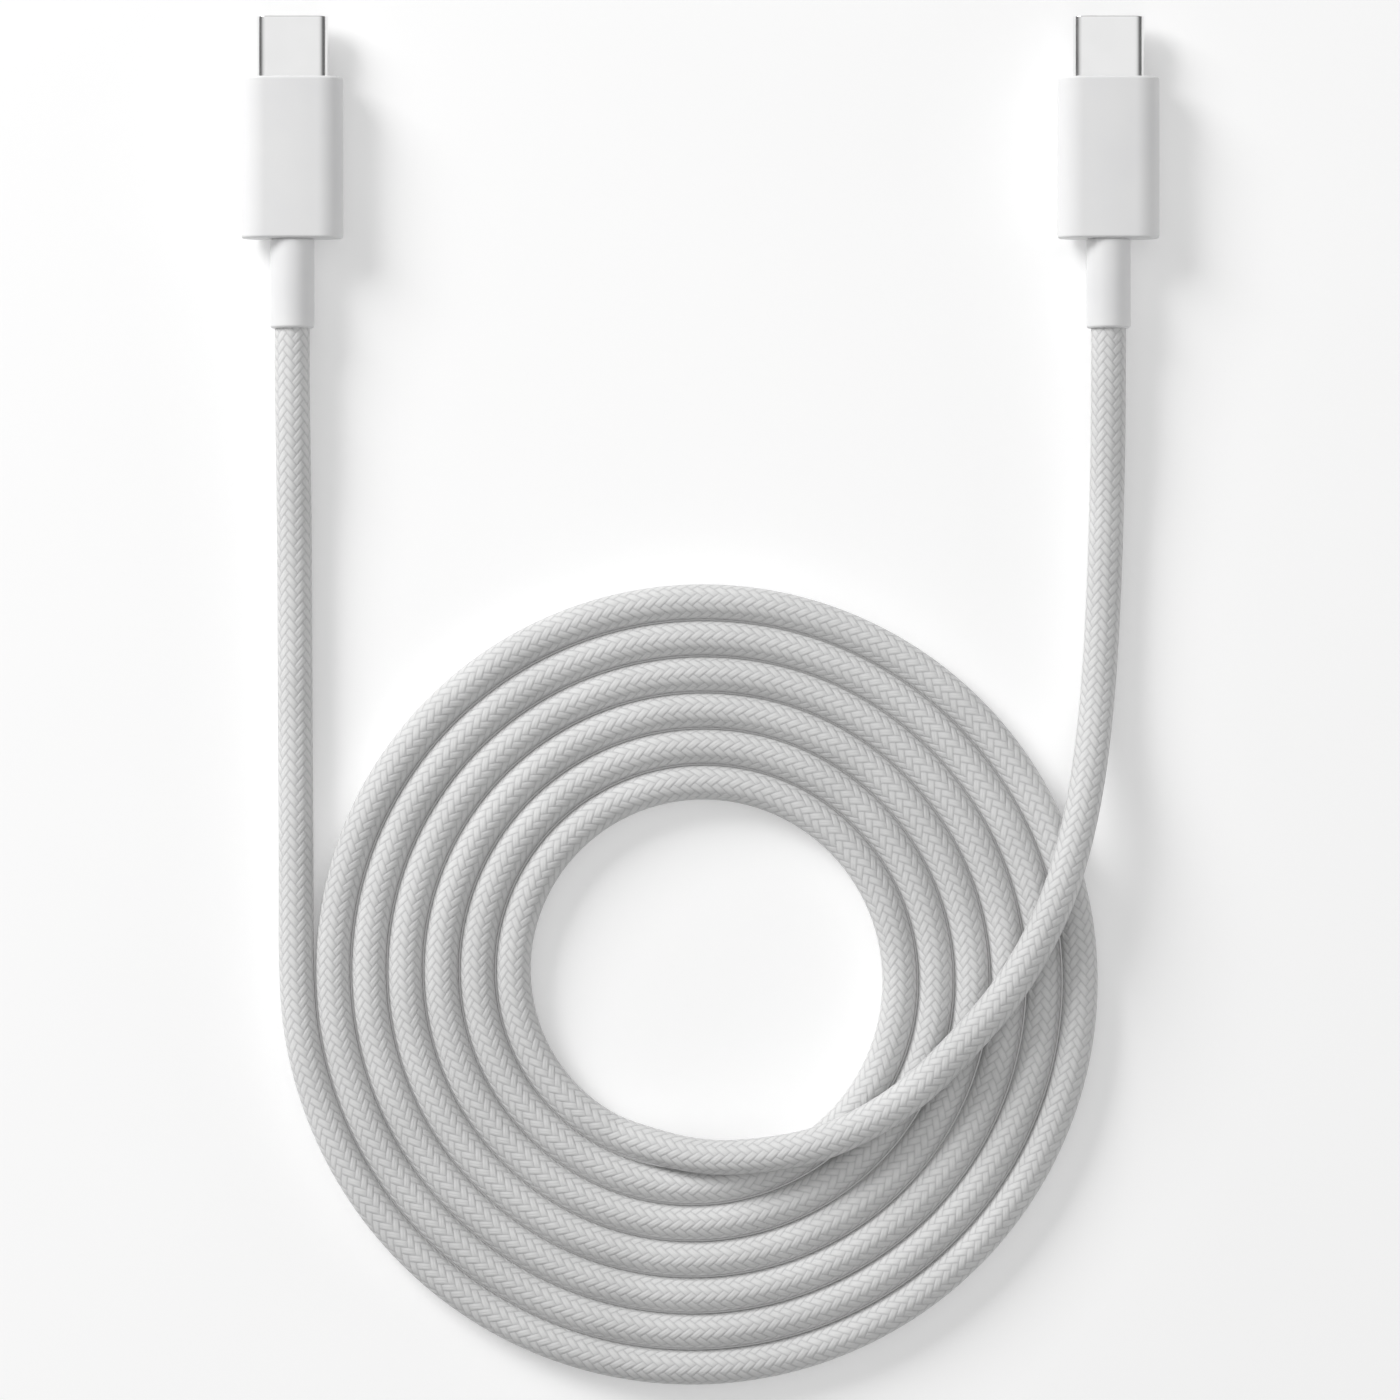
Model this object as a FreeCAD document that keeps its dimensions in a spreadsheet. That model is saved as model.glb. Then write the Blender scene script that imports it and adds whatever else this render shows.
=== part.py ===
"""Braided charging cable: two reversible 24-contact plugs joined by a cord that lies in a flat coil.

Frame: millimetres, +Z up. The origin is on the table, midway between the two plugs. X runs across them,
from plug a to plug b, and their tips point along +Y. A plug's own frame starts at the middle of its tip,
so a piece's place is its depth behind the tip.
"""

import FreeCAD, Part
import Sketcher
import math
import os

from FreeCAD import Vector

SIZES = [
    # the whole cable
    ("plug_spacing", 93.6, "between the two plugs' axes"),
    ("cord_diameter", 4.0, "over the braid"),
    ("flex_length", 20.0, "cord behind a strain relief that bends when the plug swings"),
    # the coil, one layer of turns side by side
    ("coil_centre_x", -0.33, "middle of the coil"),
    ("coil_centre_y", -92.12, "middle of the coil"),
    ("coil_radius", 46.01, "cord's centreline where it joins the outermost turn"),
    ("turn_pitch", 4.147, "from one turn to the next"),
    ("coil_turns", 6.25, "from the left of the coil inwards to its bottom"),
    # metal shell
    ("shell_width", 8.25, "outside"),
    ("shell_height", 2.4, "outside"),
    ("shell_wall", 0.25, "sheet"),
    ("shell_exposed", 7.0, "length in front of the housing"),
    ("shell_seat", 4.2, "length held inside the housing"),
    ("shell_lip_radius", 0.12, "rounding of the tip"),
    # insulator inside the shell
    ("shell_gap", 0.05, "shell to insulator"),
    ("insulator_recess", 0.35, "insulator behind the shell's tip"),
    ("insulator_length", 8.45, "along the plug"),
    ("slot_width", 6.9, "slot that takes the socket's tongue"),
    ("slot_height", 0.8, "slot that takes the socket's tongue"),
    ("slot_depth", 5.15, "behind the insulator's front"),
    # contacts
    ("contact_count", 12, "in each row"),
    ("contact_pitch", 0.5, "between contacts"),
    ("contact_width", 0.2, "blade"),
    ("contact_thickness", 0.12, "blade"),
    ("contact_start", 2.6, "contact tip behind the plug's tip"),
    ("contact_crest", 0.7, "bump behind the contact's tip"),
    ("contact_slope", 1.0, "from the bump to the straight beam"),
    ("contact_bend", 0.5, "from the beam down to the tail"),
    ("contact_set_in", 0.2, "where that bend starts inside the insulator"),
    ("contact_bump", 0.16, "how far a contact stands into the slot"),
    ("contact_tail", 1.1, "tail soldered on the card"),
    ("groove_clearance", 0.03, "contact to its groove, each side"),
    ("groove_depth", 0.28, "behind the slot's face"),
    # latch spring
    ("latch_thickness", 0.2, "sheet"),
    ("latch_arm", 0.3, "arm's width"),
    ("latch_hook", 0.2, "how far a hook stands into the slot"),
    ("latch_start", 1.6, "hooks behind the plug's tip"),
    ("latch_hook_length", 1.2, "from the arm's tip to its straight part"),
    ("latch_bar_setback", 1.5, "bar behind the slot's end"),
    ("latch_clearance", 0.03, "latch to its slit"),
    # ground springs
    ("spring_width", 5.1, "across the plug"),
    ("spring_length", 1.4, "along the plug"),
    ("spring_sheet", 0.1, "sheet"),
    ("spring_start", 0.85, "behind the plug's tip"),
    ("spring_fingers", 4, "in each spring"),
    ("spring_pitch", 1.3, "between fingers"),
    ("finger_width", 0.45, "one finger"),
    ("finger_reach", 0.06, "how far a finger stands into the slot"),
    ("finger_root", 0.25, "finger's root in front of the plate's rear edge"),
    ("finger_sheet", 0.22, "finger's root along the plate"),
    ("finger_tip", 0.3, "finger's tip behind the plate's front edge"),
    ("finger_bevel", 0.07, "cut across the finger's tip"),
    # circuit card
    ("card_width", 7.2, "across the plug"),
    ("card_thickness", 0.6, "laminate"),
    ("card_gap", 0.15, "card behind the insulator"),
    ("card_length", 7.4, "along the plug"),
    ("capacitor_length", 1.0, "bypass capacitor"),
    ("capacitor_side", 0.5, "bypass capacitor"),
    ("capacitor_offset", 1.5, "capacitor's middle from the plug's axis"),
    ("capacitor_start", 2.6, "capacitor behind the card's front"),
    # rear shield
    ("shield_start", 10.2, "shield behind the plug's tip"),
    ("shield_length", 9.2, "along the plug"),
    ("shield_wall", 0.2, "sheet"),
    ("shield_gap", 0.03, "between metal pieces that slide together"),
    ("shield_room", 3.4, "height inside the shield"),
    # inner mould
    ("mould_side", 0.8, "plastic beside the shield"),
    ("mould_cover", 0.4, "plastic over the shield"),
    ("mould_gap", 0.03, "mould to the pieces in it"),
    ("mould_length", 16.3, "along the plug"),
    ("mould_recess", 0.12, "mould behind the housing's front rim"),
    # outer housing
    ("housing_wall", 0.67, "plastic"),
    ("housing_length", 18.5, "along the plug"),
    ("housing_rear_wall", 0.8, "plastic"),
    ("housing_edge_radius", 0.3, "rounding of the front and rear rims"),
    # strain relief
    ("relief_wall", 0.52, "sleeve around the cord"),
    ("relief_length", 10.3, "behind the housing"),
    ("relief_neck_wall", 0.27, "neck through the housing's rear wall"),
    ("relief_recess", 0.15, "shadow gap between housing and sleeve"),
    ("relief_edge_radius", 0.35, "rounding of the free end"),
    ("anchor_side_gap", 0.1224, "block's corner to the housing's rounded side"),
    ("anchor_cover", 0.17, "block above and below the cord"),
    ("anchor_length", 1.0, "block that holds the sleeve in the housing"),
    ("relief_gap", 0.03, "sleeve to housing and to cord"),
    # the cord's end, cut back in layers
    ("jacket_bore", 2.82, "inside of the braided jacket"),
    ("jacket_start", 20.75, "jacket's cut end behind the plug's tip"),
    ("screen_outer", 2.78, "copper screen outside"),
    ("screen_bore", 2.42, "copper screen inside"),
    ("screen_start", 19.3, "screen's cut end behind the plug's tip"),
    ("crimp_wall", 0.3, "ferrule"),
    ("crimp_length", 1.2, "ferrule"),
    ("power_wire", 0.9, "over the insulation, and the same for ground"),
    ("data_wire", 0.56, "over the insulation"),
    ("control_wire", 0.44, "over the insulation"),
    ("wire_lift", 0.08, "insulation above the card"),
    ("wire_end", 15.8, "cut insulation behind the plug's tip"),
    ("fan_length", 1.8, "where the wires spread from the cord to the card"),
    ("core_share", 0.5, "bare core's diameter as a share of its wire's"),
    ("core_length", 1.2, "stripped core"),
    ("wire_rise", 0.1, "straight wire over the card's rear edge"),
    ("solder_width", 0.6, "solder joint"),
    ("solder_length", 0.96, "solder joint"),
]

# Each wire: name, diameter, place across the cord (x, z), side of the card, place on the card.
WIRES = [
    ("wire_power", "Sizes.power_wire", -0.48, 0.30, 1, -2.4),
    ("wire_ground", "Sizes.power_wire", 0.48, 0.30, 1, 2.4),
    ("wire_control", "Sizes.control_wire", 0.0, 0.86, 1, 0.0),
    ("wire_data_plus", "Sizes.data_wire", -0.31, -0.62, -1, -0.9),
    ("wire_data_minus", "Sizes.data_wire", 0.31, -0.62, -1, 0.9),
]

# Derived places and sizes, as expressions on the sheet.
PLUG_LENGTH = "(Sizes.shell_exposed + Sizes.housing_length + Sizes.relief_length)"
SHIELD_WIDTH = "(Sizes.shell_width + 2 * Sizes.shield_gap + 2 * Sizes.shield_wall)"
SHIELD_HEIGHT = "(Sizes.shield_room + 2 * Sizes.shield_wall)"
SHIELD_END = "(Sizes.shield_start + Sizes.shield_length)"
MOULD_WIDTH = f"({SHIELD_WIDTH} + 2 * Sizes.mould_side)"
RELIEF_BORE = "(Sizes.cord_diameter + 2 * Sizes.relief_gap)"
RELIEF_NECK = f"({RELIEF_BORE} + 2 * Sizes.relief_neck_wall)"
RELIEF_OUTER = f"({RELIEF_BORE} + 2 * Sizes.relief_wall)"
ANCHOR_HEIGHT = f"({RELIEF_BORE} + 2 * Sizes.anchor_cover)"
MOULD_HEIGHT = f"max({SHIELD_HEIGHT} + 2 * Sizes.mould_cover; {ANCHOR_HEIGHT})"
MOULD_START = "(Sizes.shell_exposed + Sizes.mould_recess)"
CAVITY_WIDTH = f"({MOULD_WIDTH} + 2 * Sizes.mould_gap)"
CAVITY_HEIGHT = f"({MOULD_HEIGHT} + 2 * Sizes.mould_gap)"
HOUSING_WIDTH = f"({CAVITY_WIDTH} + 2 * Sizes.housing_wall)"
HOUSING_HEIGHT = f"({CAVITY_HEIGHT} + 2 * Sizes.housing_wall)"
HOUSING_END = "(Sizes.shell_exposed + Sizes.housing_length)"
ANCHOR_CORNER = f"sqrt(({CAVITY_HEIGHT} / 2) ^ 2 - ({ANCHOR_HEIGHT} / 2) ^ 2)"
ANCHOR_SIDE = f"(({CAVITY_WIDTH} - {CAVITY_HEIGHT}) / 2 + {ANCHOR_CORNER} - Sizes.anchor_side_gap)"
AXIS_HEIGHT = f"({HOUSING_HEIGHT} / 2)"
INSULATOR_WIDTH = "(Sizes.shell_width - 2 * Sizes.shell_wall - 2 * Sizes.shell_gap)"
INSULATOR_HEIGHT = "(Sizes.shell_height - 2 * Sizes.shell_wall - 2 * Sizes.shell_gap)"
INSULATOR_END = "(Sizes.insulator_recess + Sizes.insulator_length)"
SLOT_END = "(Sizes.insulator_recess + Sizes.slot_depth)"
LATCH_OUTER = f"({INSULATOR_WIDTH} / 2 - Sizes.shell_gap)"
LATCH_INNER = f"({LATCH_OUTER} - Sizes.latch_arm)"
LATCH_BAR = f"({SLOT_END} + Sizes.latch_bar_setback)"
LATCH_HOOK = "(Sizes.slot_width / 2 - Sizes.latch_hook)"
LATCH_SLOPE = "(Sizes.latch_start + Sizes.latch_hook_length)"
SPRING_SEAT = f"({INSULATOR_HEIGHT} / 2 - Sizes.spring_sheet - Sizes.shell_gap)"
CARD_START = f"({INSULATOR_END} + Sizes.card_gap)"
CARD_TOP = "(Sizes.card_thickness / 2)"
CRIMP_START = f"({SHIELD_END} + Sizes.mould_gap)"
CRIMP_BORE = "(Sizes.screen_outer + 2 * Sizes.shield_gap)"
CRIMP_OUTER = f"({CRIMP_BORE} + 2 * Sizes.crimp_wall)"

# Cord routes, points chosen by hand: the straight runs between them are joined by arcs.
LEAD_A_MIDDLE = [(-46.8, -50.5, 3.0), (-46.55, -64.5, 2.2), (-46.34, -78.5, 2.0)]
LEAD_B_MIDDLE = [
    (8.5, -112.3, 2.0),
    (17.5, -110.2, 5.0),
    (26.0, -104.2, 9.5),
    (34.2, -95.5, 10.0),
    (40.4, -84.0, 10.0),
    (44.2, -71.0, 7.5),
    (45.9, -58.5, 3.6),
    (46.8, -47.5, 3.0),
]
ARC_SHARE = 0.45  # of the shorter run, taken by the arc at a corner
FLAT = 1e-4  # how far a flat face may stray
VOLUME_SHARE = 0.01  # how far a tube's volume may stray from section times length

doc = FreeCAD.newDocument("charging_cable")
sheet = doc.addObject("Spreadsheet::Sheet", "Sizes")
subparts = []


def fill_sheet():
    """One row a size: its name, its value and what it measures."""
    for row, (name, number, meaning) in enumerate(SIZES, start=1):
        sheet.set(f"A{row}", name)
        sheet.set(f"B{row}", str(number))
        sheet.set(f"C{row}", meaning)
        sheet.setAlias(f"B{row}", name)
    doc.recompute()


def value(expression):
    """What an expression on the sheet comes to now."""
    found = sheet.evalExpression(expression.replace("Sizes.", ""))
    return float(getattr(found, "Value", found))


def place(piece, plug):
    """A plug's piece starts at the middle of that plug's tip."""
    side = -1 if plug == "a" else 1
    piece.setExpression("Placement.Base.x", f"{side} * Sizes.plug_spacing / 2")
    piece.setExpression("Placement.Base.y", f"{PLUG_LENGTH} / 2")
    piece.setExpression("Placement.Base.z", AXIS_HEIGHT)


def new_body(name, plug=None):
    label = f"{name}_{plug}" if plug else name
    body = doc.addObject("PartDesign::Body", label)
    body.Label = label
    body.AllowCompound = True
    if plug:
        place(body, plug)
    subparts.append(body)
    return body


def new_sketch(body, role, offset="0"):
    """A sketch on one of the body's own planes, moved along that plane's normal."""
    plane = next(f for f in body.Origin.OriginFeatures if f.Role == role)
    sketch = body.newObject("Sketcher::SketchObject", f"{body.Name}_sketch")
    sketch.AttachmentSupport = (plane, [""])
    sketch.MapMode = "FlatFace"
    sketch.AttachmentOffset = FreeCAD.Placement(Vector(0, 0, value(offset)), FreeCAD.Rotation())
    sketch.setExpression("AttachmentOffset.Base.z", offset)
    return sketch


def section(body, depth):
    """A sketch across the plug, this far behind its tip. Pads from it run away from the tip."""
    return new_sketch(body, "XZ_Plane", depth)


def constrain(sketch, kind, *references, size=None):
    """Adds a constraint, bound to an expression if it has a size."""
    if size is None:
        sketch.addConstraint(Sketcher.Constraint(kind, *references))
        return
    number = sketch.addConstraint(Sketcher.Constraint(kind, *references, value(size)))
    sketch.setExpression(f"Constraints[{number}]", size)


def outline(sketch, corners):
    """A closed outline of straight lines through corners, given as pairs of expressions."""
    points = [Vector(value(x), value(y), 0) for x, y in corners]
    ends = zip(points, points[1:] + points[:1])
    lines = [sketch.addGeometry(Part.LineSegment(start, end)) for start, end in ends]
    for line, after in zip(lines, lines[1:] + lines[:1]):
        constrain(sketch, "Coincident", line, 2, after, 1)
    for line, (x, y) in zip(lines, corners):
        constrain(sketch, "DistanceX", -1, 1, line, 1, size=x)
        constrain(sketch, "DistanceY", -1, 1, line, 1, size=y)


def rectangle(sketch, left, right, low, high):
    outline(sketch, [(left, low), (right, low), (right, high), (left, high)])


def circle(sketch, diameter, x="0", y="0"):
    centre = Vector(value(x), value(y), 0)
    ring = sketch.addGeometry(Part.Circle(centre, Vector(0, 0, 1), value(diameter) / 2))
    constrain(sketch, "Diameter", ring, size=diameter)
    constrain(sketch, "DistanceX", -1, 1, ring, 3, size=x)
    constrain(sketch, "DistanceY", -1, 1, ring, 3, size=y)


def racetrack(sketch, width, height):
    """A slot shape around the origin: two straight sides and two half circles."""
    radius = value(height) / 2
    reach = value(width) / 2 - radius
    up = Vector(0, 0, 1)
    half_circle = math.pi / 2
    right = Part.ArcOfCircle(Part.Circle(Vector(reach, 0, 0), up, radius), -half_circle, half_circle)
    left = Part.ArcOfCircle(
        Part.Circle(Vector(-reach, 0, 0), up, radius), half_circle, 3 * half_circle
    )
    top = Part.LineSegment(Vector(reach, radius, 0), Vector(-reach, radius, 0))
    bottom = Part.LineSegment(Vector(-reach, -radius, 0), Vector(reach, -radius, 0))
    right, top, left, bottom = (sketch.addGeometry(g) for g in (right, top, left, bottom))
    for piece, after in ((right, top), (top, left), (left, bottom), (bottom, right)):
        constrain(sketch, "Tangent", piece, 2, after, 1)
    for arc in (right, left):
        constrain(sketch, "PointOnObject", arc, 3, -1)
    constrain(sketch, "Equal", right, left)
    constrain(sketch, "Radius", right, size=f"{height} / 2")
    constrain(sketch, "DistanceX", -1, 1, right, 3, size=f"({width} - {height}) / 2")
    constrain(sketch, "DistanceX", left, 3, -1, 1, size=f"({width} - {height}) / 2")


def pad(body, sketch, length, midplane=False):
    feature = body.newObject("PartDesign::Pad", f"{body.Name}_pad")
    feature.Profile = sketch
    feature.Midplane = midplane
    feature.Length = value(length)
    feature.setExpression("Length", length)
    doc.recompute()
    return feature


def pocket(body, sketch, length, midplane=False):
    """Cuts the way that a pad from the same sketch would grow, and says if it cut nothing."""
    before = body.Shape.Volume
    feature = body.newObject("PartDesign::Pocket", f"{body.Name}_pocket")
    feature.Profile = sketch
    feature.Midplane = midplane
    feature.Reversed = not midplane
    feature.Length = value(length)
    feature.setExpression("Length", length)
    doc.recompute()
    if not body.Shape.Volume < before:
        raise ValueError(f"a pocket in {body.Label} cuts nothing")
    return feature


def row_of(body, feature, count, pitch):
    """Repeats a feature across the plug. The feature is the leftmost one."""
    pattern = body.newObject("PartDesign::LinearPattern", f"{body.Name}_row")
    pattern.Originals = [feature]
    axis = next(f for f in body.Origin.OriginFeatures if f.Role == "X_Axis")
    pattern.Direction = (axis, [""])
    pattern.Occurrences = int(value(count))
    pattern.setExpression("Occurrences", count)
    pattern.Length = value(f"({count} - 1) * {pitch}")
    pattern.setExpression("Length", f"({count} - 1) * {pitch}")
    body.Tip = pattern
    doc.recompute()
    return pattern


def round_rim(body, depth, radius):
    """Rounds the outer rim of the end face at this depth."""
    base = body.Tip
    place_along = -value(depth)
    ends = [f for f in base.Shape.Faces if abs(f.BoundBox.YMin - place_along) < FLAT]
    rim = next(f.OuterWire for f in ends if f.BoundBox.YLength < FLAT)
    edges = enumerate(base.Shape.Edges, start=1)
    names = [f"Edge{n}" for n, edge in edges if any(edge.isSame(e) for e in rim.Edges)]
    fillet = body.newObject("PartDesign::Fillet", f"{body.Name}_rim")
    fillet.Base = (base, names)
    fillet.Radius = value(radius)
    fillet.setExpression("Radius", radius)
    body.Tip = fillet
    doc.recompute()


def shell(plug):
    """Drawn steel tube that goes into the socket."""
    body = new_body("shell", plug)
    sketch = section(body, "0")
    racetrack(sketch, "Sizes.shell_width", "Sizes.shell_height")
    inner_width = "(Sizes.shell_width - 2 * Sizes.shell_wall)"
    inner_height = "(Sizes.shell_height - 2 * Sizes.shell_wall)"
    racetrack(sketch, inner_width, inner_height)
    pad(body, sketch, "Sizes.shell_exposed + Sizes.shell_seat")
    round_rim(body, "0", "Sizes.shell_lip_radius")


def insulator(plug):
    """Moulded block with the slot, the contacts' grooves and room for latch and ground springs."""
    body = new_body("insulator", plug)
    front = "Sizes.insulator_recess"
    sketch = section(body, front)
    racetrack(sketch, INSULATOR_WIDTH, INSULATOR_HEIGHT)
    pad(body, sketch, "Sizes.insulator_length")

    sketch = section(body, front)
    slot_side, slot_face = "Sizes.slot_width / 2", "Sizes.slot_height / 2"
    rectangle(sketch, f"-{slot_side}", slot_side, f"-{slot_face}", slot_face)
    pocket(body, sketch, "Sizes.slot_depth")

    # grooves for the contacts, top and bottom, open to the back
    groove_start = "(Sizes.contact_start - 2 * Sizes.groove_clearance)"
    first = "(-(Sizes.contact_count - 1) * Sizes.contact_pitch / 2)"
    half_groove = "(Sizes.contact_width / 2 + Sizes.groove_clearance)"
    for side in ("", "-"):
        sketch = section(body, groove_start)
        near = f"{side}(Sizes.slot_height / 2 - Sizes.groove_clearance)"
        far = f"{side}(Sizes.slot_height / 2 + Sizes.groove_depth)"
        rectangle(sketch, f"{first} - {half_groove}", f"{first} + {half_groove}", near, far)
        groove = pocket(body, sketch, f"{INSULATOR_END} - {groove_start}")
        row_of(body, groove, "Sizes.contact_count", "Sizes.contact_pitch")

    # slit for the latch spring: along both sides, and across the back
    sketch = new_sketch(body, "XY_Plane")
    clear = "Sizes.latch_clearance"
    outside = f"({INSULATOR_WIDTH} / 2 + Sizes.shell_gap)"
    inside = f"({LATCH_INNER} - {clear})"
    hook = f"({LATCH_HOOK} - {clear})"
    start = f"-(Sizes.latch_start - {clear})"
    slope = f"-({LATCH_SLOPE} + {clear})"
    bar = f"-({LATCH_BAR} - {clear})"
    end = f"-({INSULATOR_END} + {clear})"
    corners = [
        (f"-{outside}", start),
        (f"-{hook}", start),
        (f"-{hook}", slope),
        (f"-{inside}", slope),
        (f"-{inside}", bar),
        (inside, bar),
        (inside, slope),
        (hook, slope),
        (hook, start),
        (outside, start),
        (outside, end),
        (f"-{outside}", end),
    ]
    outline(sketch, corners)
    pocket(body, sketch, f"Sizes.latch_thickness + 2 * {clear}", midplane=True)

    # recesses and windows for the ground springs
    window = "(Sizes.finger_width / 2 + Sizes.latch_clearance)"
    first = "(-(Sizes.spring_fingers - 1) * Sizes.spring_pitch / 2)"
    for side in ("", "-"):
        sketch = section(body, "Sizes.spring_start - Sizes.latch_clearance")
        half = "(Sizes.spring_width / 2 + Sizes.latch_clearance)"
        rectangle(sketch, f"-{half}", half, f"{side}{SPRING_SEAT}", f"{side}{INSULATOR_HEIGHT} / 2")
        pocket(body, sketch, "Sizes.spring_length + 2 * Sizes.latch_clearance")
        sketch = section(body, "Sizes.spring_start - Sizes.latch_clearance")
        rectangle(
            sketch, f"{first} - {window}", f"{first} + {window}", "0", f"{side}{SPRING_SEAT}"
        )
        opening = pocket(body, sketch, "Sizes.spring_length - Sizes.latch_clearance")
        row_of(body, opening, "Sizes.spring_fingers", "Sizes.spring_pitch")


def contacts(plug, side, row):
    """A row of sprung blades: bump in the slot, beam in the groove, tail on the card."""
    body = new_body(f"contacts_{row}", plug)
    sketch = new_sketch(
        body, "YZ_Plane", "-(Sizes.contact_count - 1) * Sizes.contact_pitch / 2"
    )
    half = "Sizes.contact_thickness / 2"
    slot_face = "Sizes.slot_height / 2"
    beam = f"({slot_face} + Sizes.groove_depth / 2)"
    bump = f"({slot_face} - Sizes.contact_bump + {half})"
    tail = f"({CARD_TOP} + {half})"
    crest = "(Sizes.contact_start + Sizes.contact_crest)"
    bend = f"({INSULATOR_END} - Sizes.contact_set_in)"
    path = [
        ("Sizes.contact_start", f"({slot_face} + {half})"),
        (crest, bump),
        (f"({crest} + Sizes.contact_slope)", beam),
        (bend, beam),
        (f"({bend} + Sizes.contact_bend)", tail),
        (f"({bend} + Sizes.contact_bend + Sizes.contact_tail)", tail),
    ]
    upper = [(f"-{depth}", f"{side}({height} + {half})") for depth, height in path]
    lower = [(f"-{depth}", f"{side}({height} - {half})") for depth, height in path]
    outline(sketch, upper + lower[::-1])
    blade = pad(body, sketch, "Sizes.contact_width", midplane=True)
    row_of(body, blade, "Sizes.contact_count", "Sizes.contact_pitch")


def latch_spring(plug):
    """One U-shaped stamping: a bar across the back and an arm with a hook along each side."""
    body = new_body("latch_spring", plug)
    sketch = new_sketch(body, "XY_Plane")
    tip, bar, end = "Sizes.latch_start", LATCH_BAR, f"({INSULATOR_END} - Sizes.latch_thickness)"
    hook = LATCH_HOOK
    nose = f"({tip} + Sizes.latch_hook_length / 3)"
    arm = [
        (LATCH_OUTER, f"-{tip}"),
        (hook, f"-{nose}"),
        (hook, f"-({nose} + Sizes.latch_hook)"),
        (LATCH_INNER, f"-{LATCH_SLOPE}"),
        (LATCH_INNER, f"-{bar}"),
    ]
    mirrored = [(f"-{x}", y) for x, y in arm[::-1]]
    outline(sketch, arm + mirrored + [(f"-{LATCH_OUTER}", f"-{end}"), (LATCH_OUTER, f"-{end}")])
    pad(body, sketch, "Sizes.latch_thickness", midplane=True)


def ground_spring(plug, side, row):
    """A plate on the insulator whose fingers reach through windows to the socket's tongue."""
    body = new_body(f"ground_spring_{row}", plug)
    sketch = section(body, "Sizes.spring_start")
    half = "Sizes.spring_width / 2"
    low = f"({SPRING_SEAT} + Sizes.shell_gap / 2)"
    high = f"({low} + Sizes.spring_sheet)"
    rectangle(sketch, f"-{half}", half, f"{side}{low}", f"{side}{high}")
    pad(body, sketch, "Sizes.spring_length")

    first = "-(Sizes.spring_fingers - 1) * Sizes.spring_pitch / 2"
    sketch = new_sketch(body, "YZ_Plane", first)
    root = "(Sizes.spring_start + Sizes.spring_length - Sizes.finger_root)"
    tip = "(Sizes.spring_start + Sizes.finger_tip)"
    reach = "(Sizes.slot_height / 2 - Sizes.finger_reach)"
    middle = f"({low} + Sizes.spring_sheet / 2)"
    corners = [
        (f"-({root} - Sizes.finger_sheet)", f"{side}{middle}"),
        (f"-{tip}", f"{side}({reach} + Sizes.finger_bevel)"),
        (f"-({tip} + Sizes.finger_bevel)", f"{side}{reach}"),
        (f"-{root}", f"{side}{middle}"),
    ]
    outline(sketch, corners)
    finger = pad(body, sketch, "Sizes.finger_width", midplane=True)
    row_of(body, finger, "Sizes.spring_fingers", "Sizes.spring_pitch")


def paddle_card(plug):
    """The small circuit card that joins the contacts' tails to the cord's wires."""
    body = new_body("paddle_card", plug)
    sketch = section(body, CARD_START)
    half = "Sizes.card_width / 2"
    rectangle(sketch, f"-{half}", half, f"-{CARD_TOP}", CARD_TOP)
    pad(body, sketch, "Sizes.card_length")


def bypass_capacitors(plug):
    """Two on each face of the card, as one group."""
    body = new_body("bypass_capacitors", plug)
    sketch = section(body, f"{CARD_START} + Sizes.capacitor_start")
    top = f"({CARD_TOP} + Sizes.capacitor_side)"
    half = "Sizes.capacitor_side / 2"
    for x in ("-Sizes.capacitor_offset", "Sizes.capacitor_offset"):
        for side in ("", "-"):
            rectangle(sketch, f"{x} - {half}", f"{x} + {half}", f"{side}{CARD_TOP}", f"{side}{top}")
    pad(body, sketch, "Sizes.capacitor_length")


def rear_shield(plug, side, half_name):
    """Half of the drawn can around the card. It grips the shell in front and the screen behind."""
    body = new_body(f"rear_shield_{half_name}", plug)
    sketch = section(body, "Sizes.shield_start")
    racetrack(sketch, SHIELD_WIDTH, SHIELD_HEIGHT)
    pad(body, sketch, "Sizes.shield_length")
    sketch = section(body, "Sizes.shield_start")
    seam = f"{side}(Sizes.shield_gap / 2)"
    rectangle(sketch, f"-{SHIELD_WIDTH}", SHIELD_WIDTH, f"-{side}({SHIELD_HEIGHT})", seam)
    pocket(body, sketch, "Sizes.shield_length")
    sketch = section(body, "Sizes.shield_start + Sizes.shield_wall")
    racetrack(sketch, f"({SHIELD_WIDTH} - 2 * Sizes.shield_wall)", "Sizes.shield_room")
    pocket(body, sketch, "Sizes.shield_length - 2 * Sizes.shield_wall")
    sketch = section(body, "Sizes.shield_start")
    shell_fit(sketch, "Sizes.shield_gap")
    pocket(body, sketch, "Sizes.shield_wall")
    sketch = section(body, f"{SHIELD_END} - Sizes.shield_wall")
    circle(sketch, CRIMP_BORE)
    pocket(body, sketch, "Sizes.shield_wall")


def shell_fit(sketch, gap):
    """An opening that the shell passes through with this gap all round."""
    racetrack(sketch, f"(Sizes.shell_width + 2 * {gap})", f"(Sizes.shell_height + 2 * {gap})")


def crimp_ring(plug):
    """Ferrule that clamps the screen behind the shield."""
    body = new_body("crimp_ring", plug)
    sketch = section(body, CRIMP_START)
    circle(sketch, CRIMP_OUTER)
    circle(sketch, CRIMP_BORE)
    pad(body, sketch, "Sizes.crimp_length")


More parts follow.
